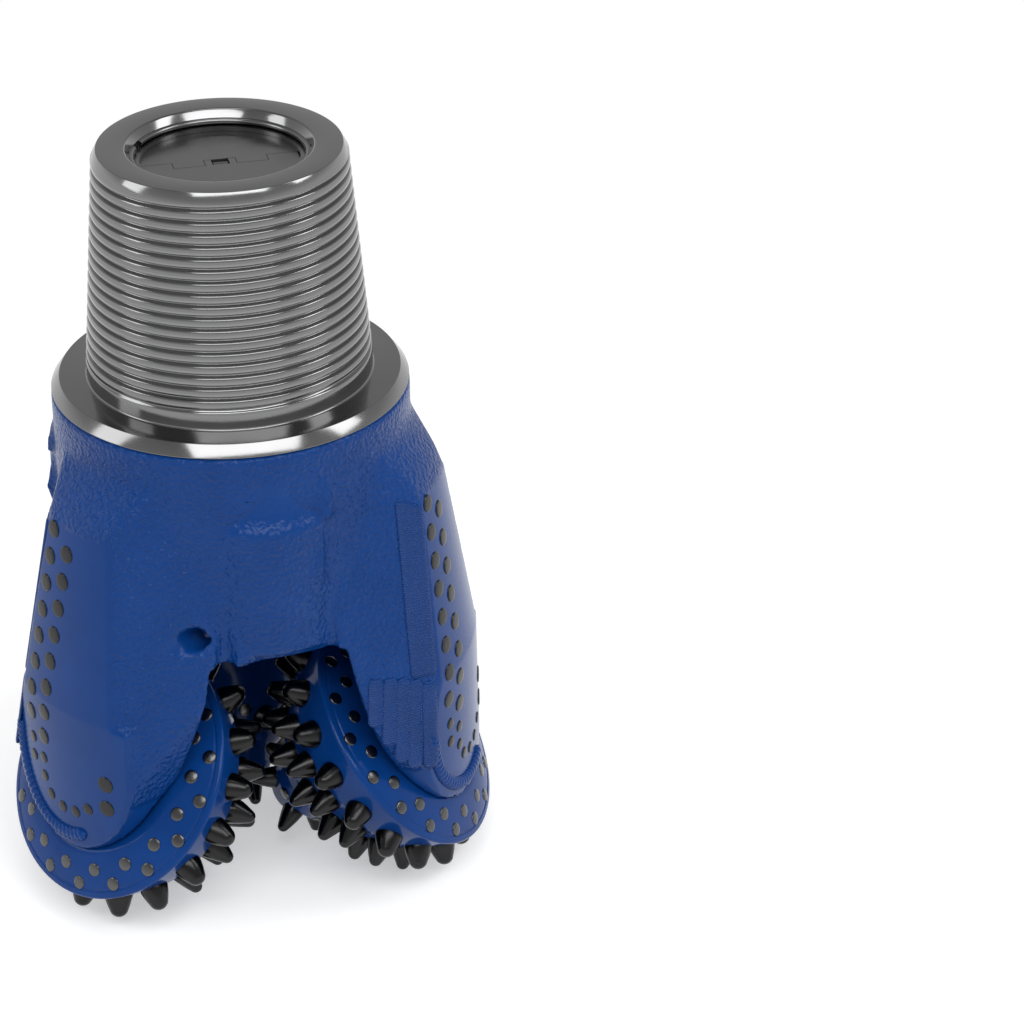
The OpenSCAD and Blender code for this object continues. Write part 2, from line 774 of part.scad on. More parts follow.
// VALVE_FLAP: half of the disc with its share of the knuckles
module valve_flap(side) color(STEEL) {
    top = knuckle_r;
    bottom = knuckle_r - flap_t;
    slot = knuckle_r + knuckle_gap;
    rotate([0, 0, hinge_turn + (side > 0 ? 0 : 180)]) translate([0, 0, hinge_z]) difference() {
        union() {
            intersection() {
                rotate([90, 0, 0]) linear_extrude(2 * flap_r, center = true) polygon([
                    [slot, top],
                    [2 * flap_r, top],
                    [2 * flap_r, bottom],
                    [-bottom * tan(flap_travel) + 0.8, bottom],
                    [slot, -(slot - 0.8) / tan(flap_travel)]
                ]);
                cylinder(r = flap_r, h = FAR, center = true);
            }
            for (i = [0 : knuckle_count - 1]) if (i % 2 == (side > 0 ? 0 : 1))
                translate([0, (i + 0.5 - knuckle_count / 2) * knuckle_len, 0]) knuckle();
        }
        rotate([90, 0, 0]) cylinder(r = hinge_pin_d / 2 + 0.05, h = FAR, center = true);
        if (side > 0) rotate([90, 0, 0]) cylinder(r = knuckle_r + 1.6, h = spring_len, center = true);
    }
}

module knuckle() {
    len = knuckle_len - knuckle_gap;
    rotate([90, 0, 0]) linear_extrude(len, center = true) {
        circle(r = knuckle_r);
        translate([-knuckle_r, 0]) square([2 * knuckle_r + 1, knuckle_r]);
    }
}

pin_shank();
leg(0);  // leg_1
leg(1);  // leg_2
leg(2);  // leg_3
leg_buttons(0);  // leg_buttons_1
leg_buttons(1);  // leg_buttons_2
leg_buttons(2);  // leg_buttons_3
jet_nozzle(0);  // jet_nozzle_1
jet_nozzle(1);  // jet_nozzle_2
jet_nozzle(2);  // jet_nozzle_3
nozzle_lock_pin(0);  // nozzle_lock_pin_1
nozzle_lock_pin(1);  // nozzle_lock_pin_2
nozzle_lock_pin(2);  // nozzle_lock_pin_3
ball_plug(0);  // ball_plug_1
ball_plug(1);  // ball_plug_2
ball_plug(2);  // ball_plug_3
thrust_button(0);  // thrust_button_1
thrust_button(1);  // thrust_button_2
thrust_button(2);  // thrust_button_3
main_rollers(0);  // main_rollers_1
main_rollers(1);  // main_rollers_2
main_rollers(2);  // main_rollers_3
retaining_balls(0);  // retaining_balls_1
retaining_balls(1);  // retaining_balls_2
retaining_balls(2);  // retaining_balls_3
nose_rollers(0);  // nose_rollers_1
nose_rollers(1);  // nose_rollers_2
nose_rollers(2);  // nose_rollers_3
cone(0);  // cone_1
cone(1);  // cone_2
cone(2);  // cone_3
heel_buttons(0);  // heel_buttons_1
heel_buttons(1);  // heel_buttons_2
heel_buttons(2);  // heel_buttons_3
gauge_inserts(0);  // gauge_inserts_1
gauge_inserts(1);  // gauge_inserts_2
gauge_inserts(2);  // gauge_inserts_3
inner_inserts(0);  // inner_inserts_1
inner_inserts(1);  // inner_inserts_2
inner_inserts(2);  // inner_inserts_3
valve_body();
valve_snap_ring();
valve_hinge_pin();
valve_spring();
valve_flap(-1);  // valve_flap_left
valve_flap(1);  // valve_flap_right
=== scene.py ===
"""Looks of the three-cone rotary drill bit: threaded steel pin, cast and painted legs, glossy cones,
black carbide inserts, hardfacing beads and a pale studio. Metres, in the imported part's own frame."""
import math
import bmesh
import bpy
import numpy as np
from mathutils import Matrix, Vector


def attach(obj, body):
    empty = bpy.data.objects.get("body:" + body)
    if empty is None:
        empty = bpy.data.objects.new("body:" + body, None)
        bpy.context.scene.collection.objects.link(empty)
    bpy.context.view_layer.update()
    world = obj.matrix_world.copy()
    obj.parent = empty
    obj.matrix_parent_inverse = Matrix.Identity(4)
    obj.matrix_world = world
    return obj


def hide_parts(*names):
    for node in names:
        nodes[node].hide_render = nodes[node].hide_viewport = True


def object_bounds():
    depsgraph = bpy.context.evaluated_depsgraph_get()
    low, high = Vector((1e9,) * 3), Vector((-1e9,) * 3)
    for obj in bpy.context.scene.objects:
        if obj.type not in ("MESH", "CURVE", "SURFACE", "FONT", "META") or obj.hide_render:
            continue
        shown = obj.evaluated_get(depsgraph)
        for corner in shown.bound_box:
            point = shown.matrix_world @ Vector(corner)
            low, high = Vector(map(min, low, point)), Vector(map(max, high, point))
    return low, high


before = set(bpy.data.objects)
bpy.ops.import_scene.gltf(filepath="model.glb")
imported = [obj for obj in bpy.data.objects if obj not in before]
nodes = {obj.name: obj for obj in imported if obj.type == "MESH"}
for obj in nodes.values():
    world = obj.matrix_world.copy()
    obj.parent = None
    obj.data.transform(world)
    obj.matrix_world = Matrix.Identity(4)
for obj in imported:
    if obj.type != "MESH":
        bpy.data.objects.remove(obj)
cad_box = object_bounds()

MM = 0.001
LEGS = (1, 2, 3)
LEG_TURN = math.radians(120)
BIT = "bit_body"

# Sizes of the part, in millimetres
PIN_LEN = 127.0
PIN_BASE_R = 76.1
PIN_PLAIN_LEN = 8.5
PIN_TAPER = 1 / 12
PIN_CHAMFER_H = 5.4
PIN_CHAMFER_W = 2.9
SHOULDER_R = 90.8
SHOULDER_BEVEL_H = 6.3
NECK_R = 95.6
POCKET_R = 46.0
POCKET_DEPTH = 67.0
MOUTH_R = 49.0
MOUTH_H = 4.5
CHAMBER_R = 38.0
THREAD_PITCH = 6.35
THREAD_DEPTH = 2.3
THREAD_CREST = 3.5
THREAD_ROOT = 0.5
THREAD_CROWN = 0.16
LEG_TOP = 57.0
LEG_TOP_R = 113.0
LEG_BEND = 158.0
LEG_BEND_R = 130.0
LEG_TIP_R = 132.3
JOURNAL_ANGLE = math.radians(37.8)
JOURNAL_DEPTH = 284.6
CONE_OFFSET = -3.0
SKIRT_SHIFT = -3.5
LEAD_FLANK = (math.radians(-53), 74.9, 0.2)
SEAM_START = -42
LOCK_HOLE_TURN = 4
LOCK_HOLE_PLACE = 49.7
LOCK_HOLE_DEPTH = 111
BOSS_AZIMUTH = 60
BOSS_PLACE_R = 65.5
BOSS_R = 38.0
BOSS_RIM = 48.0
SHELF_TOP = 23.0
SHELF_W = 7.0
SHELF_SLACK = 1.5
FOOT_TOP = 205

# How the legs are remeshed and smoothed
LEG_VOXEL = 0.0015
ALL_OVER = (0.7, 4)
SOFT_ROUNDS = 6
LAST_TOUCH = (0.5, 2)
MACHINED_BAND = 1.6
HOLE_KEPT_R = 11
HOLE_SMOOTH_R = 8
SHELF_HOLLOW = 3.4
SHELF_CAST = 0.35


# Mesh helpers
def new_object(name, verts, faces, material, weld=None):
    """A smooth-shaded mesh object from points in metres."""
    mesh = bpy.data.meshes.new(name)
    mesh.from_pydata([tuple(v) for v in verts], [], [tuple(f) for f in faces])
    if weld:
        bm = bmesh.new()
        bm.from_mesh(mesh)
        bmesh.ops.remove_doubles(bm, verts=bm.verts, dist=weld)
        bmesh.ops.dissolve_degenerate(bm, edges=bm.edges, dist=weld)
        bmesh.ops.recalc_face_normals(bm, faces=bm.faces)
        bm.to_mesh(mesh)
        bm.free()
    mesh.validate()
    mesh.materials.append(material)
    mesh.polygons.foreach_set("use_smooth", [True] * len(mesh.polygons))
    obj = bpy.data.objects.new(name, mesh)
    bpy.context.scene.collection.objects.link(obj)
    return obj


def rounded(points, radii, steps=5):
    """An outline whose corners are arcs. radii has one radius per point, 0 for a sharp corner."""
    out = []
    for i, (point, radius) in enumerate(zip(points, radii)):
        p = np.array(point, float)
        if radius == 0 or i in (0, len(points) - 1):
            out.append(p)
            continue
        a = np.array(points[i - 1], float) - p
        b = np.array(points[i + 1], float) - p
        la, lb = np.linalg.norm(a), np.linalg.norm(b)
        a, b = a / la, b / lb
        half = math.acos(np.clip(a @ b, -1, 1)) / 2
        cut = min(radius / math.tan(half), 0.45 * la, 0.45 * lb)
        arc_r = cut * math.tan(half)
        centre = p + (a + b) / np.linalg.norm(a + b) * arc_r / math.sin(half)
        start, end = p + a * cut - centre, p + b * cut - centre
        sweep = math.pi - 2 * half
        side = np.sign(start[0] * end[1] - start[1] * end[0])
        for j in range(steps + 1):
            t = side * sweep * j / steps
            turn = np.array([[math.cos(t), -math.sin(t)], [math.sin(t), math.cos(t)]])
            out.append(centre + turn @ start)
    return out


def revolved(outline, segments):
    """Points and faces of a closed outline of (radius, height) turned about Z, in millimetres."""
    ring = np.array(outline, float)
    angle = np.arange(segments) * 2 * math.pi / segments
    x = ring[:, 0][:, None] * np.cos(angle)
    y = ring[:, 0][:, None] * np.sin(angle)
    z = np.repeat(ring[:, 1][:, None], segments, 1)
    verts = np.stack([x, y, z], -1).reshape(-1, 3)
    faces = []
    for j in range(len(ring) - 1):
        for i in range(segments):
            k = (i + 1) % segments
            low, high = j * segments, (j + 1) * segments
            faces.append((low + i, low + k, high + k, high + i))
    return verts, faces


# Materials
def principled(name, color, metallic=0.0, roughness=0.4, specular=0.5):
    """A material with its shader."""
    material = bpy.data.materials.new(name)
    material.use_nodes = True
    shader = material.node_tree.nodes["Principled BSDF"]
    shader.inputs["Base Color"].default_value = (*color, 1)
    shader.inputs["Metallic"].default_value = metallic
    shader.inputs["Roughness"].default_value = roughness
    shader.inputs["Specular IOR Level"].default_value = specular
    return material, shader


def add(material, kind, **values):
    """A node of that kind with its input values set."""
    node = material.node_tree.nodes.new(kind)
    for key, value in values.items():
        node.inputs[key.replace("_", " ")].default_value = value
    return node


def link(material, a, b):
    material.node_tree.links.new(a, b)


def position(material, scale=(1, 1, 1)):
    """The object's own coordinates, stretched."""
    coordinates = add(material, "ShaderNodeTexCoord")
    mapping = add(material, "ShaderNodeMapping", Scale=scale)
    link(material, coordinates.outputs["Object"], mapping.inputs["Vector"])
    return mapping.outputs["Vector"]


def ramp(material, source, low, high, low_at=0.0, high_at=1.0):
    """A value that goes from low to high while the source goes from low_at to high_at."""
    node = add(material, "ShaderNodeMapRange", From_Min=low_at, From_Max=high_at,
               To_Min=low, To_Max=high)
    link(material, source, node.inputs["Value"])
    return node.outputs["Result"]


def math_node(material, operation, first, second):
    """Result of an operation on a socket and a socket or number."""
    node = add(material, "ShaderNodeMath")
    node.operation = operation
    link(material, first, node.inputs[0])
    if isinstance(second, float):
        node.inputs[1].default_value = second
    else:
        link(material, second, node.inputs[1])
    return node.outputs[0]


def noise(material, where, scale, detail=2.0, roughness=0.5):
    node = add(material, "ShaderNodeTexNoise", Scale=scale, Detail=detail, Roughness=roughness)
    link(material, where, node.inputs["Vector"])
    return node.outputs["Fac"]


def bump(material, shader, height, distance, strength=1.0):
    node = add(material, "ShaderNodeBump", Strength=strength, Distance=distance)
    link(material, height, node.inputs["Height"])
    link(material, node.outputs["Normal"], shader.inputs["Normal"])


BLUE = (0.003, 0.044, 0.21)
BLUE_DARK = (0.002, 0.038, 0.186)


def clouded_blue(material, shader, scale):
    """Gives the paint two close blues in soft clouds."""
    tone = noise(material, position(material), scale, 3.0)
    node = material.node_tree.nodes.new("ShaderNodeMix")
    node.data_type = "RGBA"
    node.inputs[6].default_value = (*BLUE_DARK, 1)
    node.inputs[7].default_value = (*BLUE, 1)
    link(material, ramp(material, tone, 0, 1, 0.35, 0.65), node.inputs[0])
    link(material, node.outputs[2], shader.inputs["Base Color"])


def uneven_roughness(material, shader, scale, detail, low, high):
    cloud = noise(material, position(material), scale, detail)
    link(material, ramp(material, cloud, low, high, 0.3, 0.7), shader.inputs["Roughness"])


def cast_paint():
    """Enamel over a rough casting. The attribute cast is 1 where the forging was left rough."""
    material, shader = principled("cast_paint", BLUE, roughness=0.3, specular=0.18)
    attribute = material.node_tree.nodes.new("ShaderNodeAttribute")
    attribute.attribute_name = "cast"
    share = attribute.outputs["Fac"]
    pebble = noise(material, position(material), 430, 1.0, 0.4)
    bump(material, shader, math_node(material, "MULTIPLY", pebble, share), 0.0016)
    clouded_blue(material, shader, 25)
    link(material, ramp(material, share, 0.2, 0.26), shader.inputs["Roughness"])
    return material


def gloss_paint():
    """Smooth enamel of the cones and beads."""
    material, shader = principled("gloss_paint", BLUE, roughness=0.12, specular=0.15)
    peel = noise(material, position(material), 260, 2.0)
    bump(material, shader, peel, 0.00012, 0.2)
    clouded_blue(material, shader, 30)
    return material


def turned_steel(name, color, roughness):
    """Bright steel with the fine rings that a lathe leaves about Z."""
    material, shader = principled(name, color, metallic=1.0, roughness=roughness)
    rings = noise(material, position(material, (4, 4, 900)), 3, 3.0)
    bump(material, shader, rings, 0.00002, 0.15)
    uneven_roughness(material, shader, 60, 3.0, roughness * 0.8, roughness * 1.25)
    return material


def carbide_material(name, color, roughness):
    """Ground tungsten carbide, dark and glossy, with faint grinding marks."""
    material, shader = principled(name, color, metallic=1.0, roughness=roughness)
    grain = noise(material, position(material), 900, 3.0)
    bump(material, shader, grain, 0.00005, 0.3)
    uneven_roughness(material, shader, 120, 2.0, roughness * 0.85, roughness * 1.2)
    return material


RIPPLE_PITCH = 0.0013


def rippled_paint():
    """Enamel over machine-laid hardfacing, which has a fine even ripple across each bead."""
    material, shader = principled("rippled_paint", BLUE, roughness=0.28, specular=0.25)
    split = add(material, "ShaderNodeSeparateXYZ")
    link(material, position(material), split.inputs["Vector"])
    wave = add(material, "ShaderNodeMath")
    wave.operation = "SINE"
    phase = math_node(material, "MULTIPLY", split.outputs["Z"], 2 * math.pi / RIPPLE_PITCH)
    link(material, phase, wave.inputs[0])
    bump(material, shader, wave.outputs[0], 0.00025)
    clouded_blue(material, shader, 40)
    return material


PAINT_CAST = cast_paint()
PAINT_RIPPLED = rippled_paint()
PAINT_GLOSS = gloss_paint()
STEEL = turned_steel("turned_steel", (0.22, 0.22, 0.222), 0.13)
VALVE_STEEL = turned_steel("valve_steel", (0.19, 0.19, 0.192), 0.2)
BEARING_STEEL = turned_steel("bearing_steel", (0.5, 0.5, 0.51), 0.12)
CARBIDE = carbide_material("carbide", (0.03, 0.03, 0.031), 0.24)
# Painted shade: the same carbide as the heel buttons, with a darker base colour that stands in for the
# shade on the leg backs
BACK_BUTTON_SHADED = carbide_material("button_carbide", (0.04, 0.04, 0.041), 0.26)
# Painted reflection: the same carbide as the back buttons, with a lighter base colour that stands in
# for the glossy sheen on the cone heels
HEEL_BUTTON_SHEEN = carbide_material("heel_button_carbide", (0.1, 0.1, 0.101), 0.24)


def paint_node(name, material):
    mesh = nodes[name].data
    if not mesh.materials:
        mesh.materials.append(material)
    for i in range(len(mesh.materials)):
        mesh.materials[i] = material


# The pin, legs, cones, inserts and buttons are replaced further down by pieces with their own look
for name in nodes:
    if name.startswith("jet_nozzle"):
        paint_node(name, CARBIDE)
    elif name.startswith("valve"):
        paint_node(name, VALVE_STEEL)
    else:
        paint_node(name, BEARING_STEEL)


# Pin with its thread
PIN_SEGMENTS = 192
THREAD_ROWS = 24
RUN_OUT_LOW = THREAD_PITCH * 0.8
RUN_OUT_HIGH = 0.35 * RUN_OUT_LOW


def taper_r(z):
    """Radius of the pin at the thread's crest."""
    return PIN_BASE_R - max(0.0, z - PIN_PLAIN_LEN) * PIN_TAPER


def thread_cut(phase):
    """Share of the thread's depth at a phase of 0 to 1, with the crest centred on 0."""
    p = abs((phase + 0.5) % 1 - 0.5) * THREAD_PITCH
    flank = (THREAD_PITCH - THREAD_CREST - THREAD_ROOT) / 2
    t = min(max((p - THREAD_CREST / 2) / flank, 0), 1)
    crown = THREAD_CROWN * min(2 * p / THREAD_CREST, 1) ** 2
    return crown + (1 - crown) * t * t * (3 - 2 * t)


def threaded_band(z_low, z_high):
    """Rows that follow the helix between two round edges. The thread runs out at both."""
    verts, faces = [], []
    rows = int(round((z_high - z_low + THREAD_PITCH) / THREAD_PITCH * THREAD_ROWS)) + 1
    for j in range(rows + 1):
        for i in range(PIN_SEGMENTS + 1):
            share = i / PIN_SEGMENTS
            z = z_low - THREAD_PITCH + j * THREAD_PITCH / THREAD_ROWS + share * THREAD_PITCH
            z = min(max(z, z_low), z_high)
            fade = min(1.0, (z - z_low) / RUN_OUT_LOW, (z_high - z) / RUN_OUT_HIGH)
            phase = (j / THREAD_ROWS) % 1
            r = taper_r(z) - THREAD_DEPTH * fade * thread_cut(phase)
            angle = share * 2 * math.pi
            verts.append((r * math.cos(angle) * MM, r * math.sin(angle) * MM, z * MM))
    width = PIN_SEGMENTS + 1
    for j in range(rows):
        for i in range(PIN_SEGMENTS):
            a = j * width + i
            faces.append((a, a + 1, a + 1 + width, a + width))
    return verts, faces


def threaded_pin():
    """The turned pin and shoulder as one closed skin."""
    z_low, z_high = PIN_PLAIN_LEN, PIN_LEN - PIN_CHAMFER_H
    top_r = taper_r(z_high)
    pocket_z = PIN_LEN - POCKET_DEPTH
    outer = rounded(
        [(CHAMBER_R, -SHOULDER_BEVEL_H), (NECK_R, -SHOULDER_BEVEL_H), (SHOULDER_R, 0),
         (PIN_BASE_R, 0), (PIN_BASE_R, z_low)],
        [0, 0.3, 0.5, 1.2, 0])
    inner = rounded(
        [(top_r, z_high), (top_r - PIN_CHAMFER_W, PIN_LEN), (MOUTH_R, PIN_LEN),
         (POCKET_R, PIN_LEN - MOUTH_H), (POCKET_R, pocket_z), (CHAMBER_R, pocket_z),
         (CHAMBER_R, -SHOULDER_BEVEL_H)],
        [0, 0.5, 1.6, 1.6, 0, 0, 0])
    verts, faces = [], []
    for outline in (outer, inner):
        v, f = revolved(outline, PIN_SEGMENTS)
        start = len(verts)
        verts += [tuple(p * MM) for p in v]
        faces += [tuple(start + i for i in face) for face in f]
    v, f = threaded_band(z_low, z_high)
    start = len(verts)
    verts += v
    faces += [tuple(start + i for i in face) for face in f]
    return new_object("threaded_pin", verts, faces, STEEL, weld=2e-6)


pin = threaded_pin()
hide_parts("pin_shank")
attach(pin, BIT)


# Legs: the forged solids with their cast edges rounded off
def back_r(depth):
    """Radius of the leg back at a depth."""
    if depth > LEG_BEND:
        share = (depth - LEG_BEND) / (JOURNAL_DEPTH - LEG_BEND)
        return LEG_BEND_R + (LEG_TIP_R - LEG_BEND_R) * share
    return LEG_TOP_R + (LEG_BEND_R - LEG_TOP_R) * (depth - LEG_TOP) / (LEG_BEND - LEG_TOP)


def back_lean(depth):
    """Angle by which the leg back leans outwards at a depth."""
    if depth > LEG_BEND:
        return math.atan((LEG_TIP_R - LEG_BEND_R) / (JOURNAL_DEPTH - LEG_BEND))
    return math.atan((LEG_BEND_R - LEG_TOP_R) / (LEG_BEND - LEG_TOP))


def evaluated_mesh(obj):
    graph = bpy.context.evaluated_depsgraph_get()
    graph.update()
    return bpy.data.meshes.new_from_object(obj.evaluated_get(graph))


def smoothed(points, edges, weight, rounds):
    """Points moved towards the mean of their neighbours, each by its own weight."""
    a, b = edges[:, 0], edges[:, 1]
    count = np.bincount(a, minlength=len(points)) + np.bincount(b, minlength=len(points))
    for _ in range(rounds):
        mean = np.empty_like(points)
        for axis in range(3):
            column = points[:, axis]
            total = np.bincount(a, column[b], len(points)) + np.bincount(b, column[a], len(points))
            mean[:, axis] = total / count
        points = points + weight[:, None] * 0.5 * (mean - points)
    return points


def sector_of(x, y):
    """Leg, 0 to 2, that points at x, y belong to. The seams lie at -42 and 78 degrees from a leg."""
    azimuth = np.degrees(np.arctan2(x, -y))
    return np.floor((azimuth - SEAM_START) / 120).astype(int) % 3


def spread(values, edges, rounds):
    """A mask with soft edges."""
    return smoothed(np.repeat(values[:, None], 3, 1), edges, np.ones(len(values)), rounds)[:, 0]


def hollow_shelves(points):
    """The shelf over each jet boss leaves the neck softly, steepens and ends in a clear rim.
    Gives the points that lie on a shelf."""
    depth = -points[:, 2]
    rise = np.clip((depth - SHELF_TOP) / (BOSS_RIM - SHELF_TOP), 0, 1)
    plain = BOSS_R - SHELF_W * (1 - rise)
    hollow = BOSS_R - SHELF_W * (1 - rise ** SHELF_HOLLOW)
    reach = np.hypot(points[:, 0], points[:, 1])
    shelves = np.zeros(len(points), bool)
    level = (depth > SHELF_TOP - 1) & (depth < BOSS_RIM + SHELF_SLACK) & (reach > NECK_R - 0.5)
    for k in LEGS:
        azimuth = math.radians(BOSS_AZIMUTH) + (k - 1) * LEG_TURN
        centre = BOSS_PLACE_R * np.array([math.sin(azimuth), -math.cos(azimuth)])
        out = points[:, :2] - centre
        on_shelf = level & (np.abs(np.hypot(out[:, 0], out[:, 1]) - plain) < SHELF_SLACK)
        moved = centre + out * (hollow / plain)[:, None]
        short = NECK_R / np.hypot(moved[:, 0], moved[:, 1])
        moved *= np.maximum(short, 1)[:, None]
        points[on_shelf, :2] = moved[on_shelf]
        shelves |= on_shelf & (short < 1)
    return shelves


def cast_body():
    """Points, quads, cast share and normals of the welded legs, with the button pockets filled."""
    bm = bmesh.new()
    for k in LEGS:
        bm.from_mesh(nodes[f"leg_{k}"].data)
        bm.from_mesh(nodes[f"leg_buttons_{k}"].data)
    source = bpy.data.objects.new("leg_source", bpy.data.meshes.new("leg_source"))
    bm.to_mesh(source.data)
    bm.free()
    bpy.context.scene.collection.objects.link(source)
    modifier = source.modifiers.new("even", "REMESH")
    modifier.mode = "VOXEL"
    modifier.voxel_size = LEG_VOXEL
    mesh = evaluated_mesh(source)
    bpy.data.objects.remove(source)
    count = len(mesh.vertices)
    points = np.empty(count * 3, np.float32)
    mesh.vertices.foreach_get("co", points)
    points = points.reshape(-1, 3).astype(np.float64) / MM
    edges = np.empty(len(mesh.edges) * 2, np.int32)
    mesh.edges.foreach_get("vertices", edges)
    edges = edges.reshape(-1, 2)
    depth = -points[:, 2]
    rho = np.hypot(points[:, 0], points[:, 1])
    back = np.array([back_r(d) for d in depth])
    on_back = (np.abs(rho - back) < MACHINED_BAND) & (depth > LEG_TOP - 1)
    top = depth < SHOULDER_BEVEL_H + 1.5
    low = depth > FOOT_TOP
    hole = np.radians(sector_of(points[:, 0], points[:, 1]) * 120 + LOCK_HOLE_TURN)
    along = points[:, 0] * np.cos(hole) + points[:, 1] * np.sin(hole) - LOCK_HOLE_PLACE
    from_hole = np.hypot(along, depth - LOCK_HOLE_DEPTH)
    near_hole = from_hole < HOLE_KEPT_R
    soft = spread(np.where(on_back | low | top | near_hole, 0.0, 1.0), edges, 8)
    firm = spread(np.where(on_back, 1.0, 0.0), edges, 6)
    points = smoothed(points, edges, np.full(count, ALL_OVER[0]), ALL_OVER[1])
    points = smoothed(points, edges, soft, SOFT_ROUNDS)
    shelves = hollow_shelves(points)
    points = smoothed(points, edges, np.full(count, LAST_TOUCH[0]), LAST_TOUCH[1])
    off = np.hypot(points[:, 0], points[:, 1]) - back
    hold = np.clip(MACHINED_BAND - np.abs(off) * 2, 0, 1) * np.clip(firm * 3 - 1.8, 0, 1)
    points[:, :2] *= (1 - (off * hold) / np.maximum(rho, 1))[:, None]
    smooth = on_back | low | top | (from_hole < HOLE_SMOOTH_R)
    cast = spread(np.where(smooth, 0.0, np.where(shelves, SHELF_CAST, 1.0)), edges, 3)
    mesh.vertices.foreach_set("co", (points * MM).ravel())
    mesh.update()
    normals = np.empty(count * 3, np.float32)
    mesh.vertex_normals.foreach_get("vector", normals)
    normals = normals.reshape(-1, 3)
    cast *= np.clip(1.6 + 2 * normals[:, 2], 0, 1)
    quads = np.empty(len(mesh.polygons) * 4, np.int32)
    mesh.polygons.foreach_get("vertices", quads)
    bpy.data.meshes.remove(mesh)
    return points * MM, quads.reshape(-1, 4), cast, normals


def leg_piece(k, body):
    """The part of the welded legs that belongs to one of them, shaded as one with the others."""
    points, quads, cast, normals = body
    middle = points[quads].mean(1)
    own = quads[sector_of(middle[:, 0], middle[:, 1]) == k - 1]
    used, index = np.unique(own, return_inverse=True)
    leg = new_object(f"cast_leg_{k}", points[used], index.reshape(-1, 4).tolist(), PAINT_CAST)
    attribute = leg.data.attributes.new("cast", "FLOAT", "POINT")
    attribute.data.foreach_set("value", cast[used].astype(np.float32))
    leg.data.normals_split_custom_set_from_vertices(normals[used].tolist())
    return leg


welded = cast_body()
for k in LEGS:
    leg = leg_piece(k, welded)
    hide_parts(f"leg_{k}")
    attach(leg, BIT)


# Weld beads and hardfacing on the legs
BEAD_SUNK = 0.8


def flank_point(u, depth):
    """Point and normal on the leading flank of leg 1, at a distance u along it."""
    azimuth, reach, slope = LEAD_FLANK
    out = np.array([math.sin(azimuth), -math.cos(azimuth), 0])
    along = np.array([math.cos(azimuth), math.sin(azimuth), 0])
    point = out * (reach + slope * depth) + along * u + np.array([0, 0, -depth])
    normal = out + np.array([0, 0, slope])
    return point, normal / np.linalg.norm(normal)


def skirt_point(angle, radius):
    """Point and normal on the back of leg 1. The angle and radius are as seen along the journal."""
    x = SKIRT_SHIFT + CONE_OFFSET + radius * math.cos(angle)
    y = radius * math.sin(angle)
    depth = LEG_BEND + 60
    for _ in range(4):
        reach = math.sqrt(back_r(depth) ** 2 - x * x)
        depth = JOURNAL_DEPTH - (y + reach * math.sin(JOURNAL_ANGLE)) / math.cos(JOURNAL_ANGLE)
    normal = np.array([x, -reach, back_r(depth) * math.tan(back_lean(depth))])
    return np.array([x, -reach, -depth]), normal / np.linalg.norm(normal)


def bead(path, half_width, height, ripple=0.0, pitch=3.1, bow=0.0):
    """A closed weld bead along a path of points and normals, with rounded ends and maybe ripples."""
    points = np.array([p for p, _ in path])
    normals = np.array([n for _, n in path])
    steps = np.linalg.norm(np.diff(points, axis=0), axis=1)
    place = np.concatenate([[0], np.cumsum(steps)])
    length = place[-1]
    count = max(int(length / (pitch / 8 if ripple else 1.5)), 12)
    at = np.linspace(0, length, count)
    centre = np.stack([np.interp(at, place, points[:, i]) for i in range(3)], 1)
    up = np.stack([np.interp(at, place, normals[:, i]) for i in range(3)], 1)
    up /= np.linalg.norm(up, axis=1)[:, None]
    ahead = np.gradient(centre, axis=0)
    ahead /= np.linalg.norm(ahead, axis=1)[:, None]
    side = np.cross(ahead, up)
    arc = np.linspace(0, math.pi, 13)
    verts = []
    for i in range(count):
        edge = min(at[i], length - at[i]) / half_width
        cap = math.sqrt(max(1 - (1 - min(edge, 1)) ** 2, 0.0004))
        wave = 1 - ripple + ripple * math.sqrt(max(1 - (2 * (at[i] / pitch % 1) - 1) ** 2, 0))
        for t in arc:
            shift = -bow * (1 - math.sin(t)) * cap
            verts.append(centre[i] + side[i] * half_width * cap * wave ** 0.4 * math.cos(t)
                         + up[i] * (height * cap * wave * math.sin(t)) + ahead[i] * shift)
        verts.append(centre[i] - side[i] * half_width * cap * 0.9 - up[i] * BEAD_SUNK)
        verts.append(centre[i] + side[i] * half_width * cap * 0.9 - up[i] * BEAD_SUNK)
    width = len(arc) + 2
    faces = []
    for i in range(count - 1):
        for j in range(width):
            here = i * width
            beyond = here + width
            other = (j + 1) % width
            faces.append((here + j, here + other, beyond + other, beyond + j))
    faces += [tuple(range(width - 1, -1, -1)), tuple((count - 1) * width + j for j in range(width))]
    return verts, faces


def joined(name, parts, k, material):
    """One object of several beads, turned to a leg."""
    turn = np.array(Matrix.Rotation((k - 1) * LEG_TURN, 3, "Z"))
    verts, faces = [], []
    for v, f in parts:
        start = len(verts)
        verts += [tuple(turn @ p * MM) for p in v]
        faces += [tuple(start + i for i in face) for face in f]
    return new_object(name, verts, faces, material, weld=1e-6)


# Ends of the hardfacing beads on the leading flank, as distance along it and depth. Each kind
# of bead has a half-width and a height.
EDGE_TOPS = ((61.3, 52.8), (64.6, 54.2), (67.8, 56), (70.8, 57.6))
EDGE_BEADS = [((u, top), (u - 0.6, 153)) for u, top in EDGE_TOPS]
EDGE_BEAD = (3, 1.1)
FOOT_BEADS = [((38.1, 146.7), (35, 175)), ((46.5, 148), (41.7, 187)), ((53.9, 150), (48.1, 198)),
              ((60.6, 152.3), (55, 203)), ((68, 155.2), (64, 205))]
FOOT_BEAD = (4.6, 1.4)
SKIRT_WELD = (4, 2.8)
SKIRT_WELD_R = 41.6
SKIRT_WELD_ARC = (-184, -63)


def straight(start, end):
    """Points and normals along a straight line on the leading flank."""
    start, end = np.array(start), np.array(end)
    return [flank_point(*(start * (1 - t) + end * t)) for t in np.linspace(0, 1, 12)]


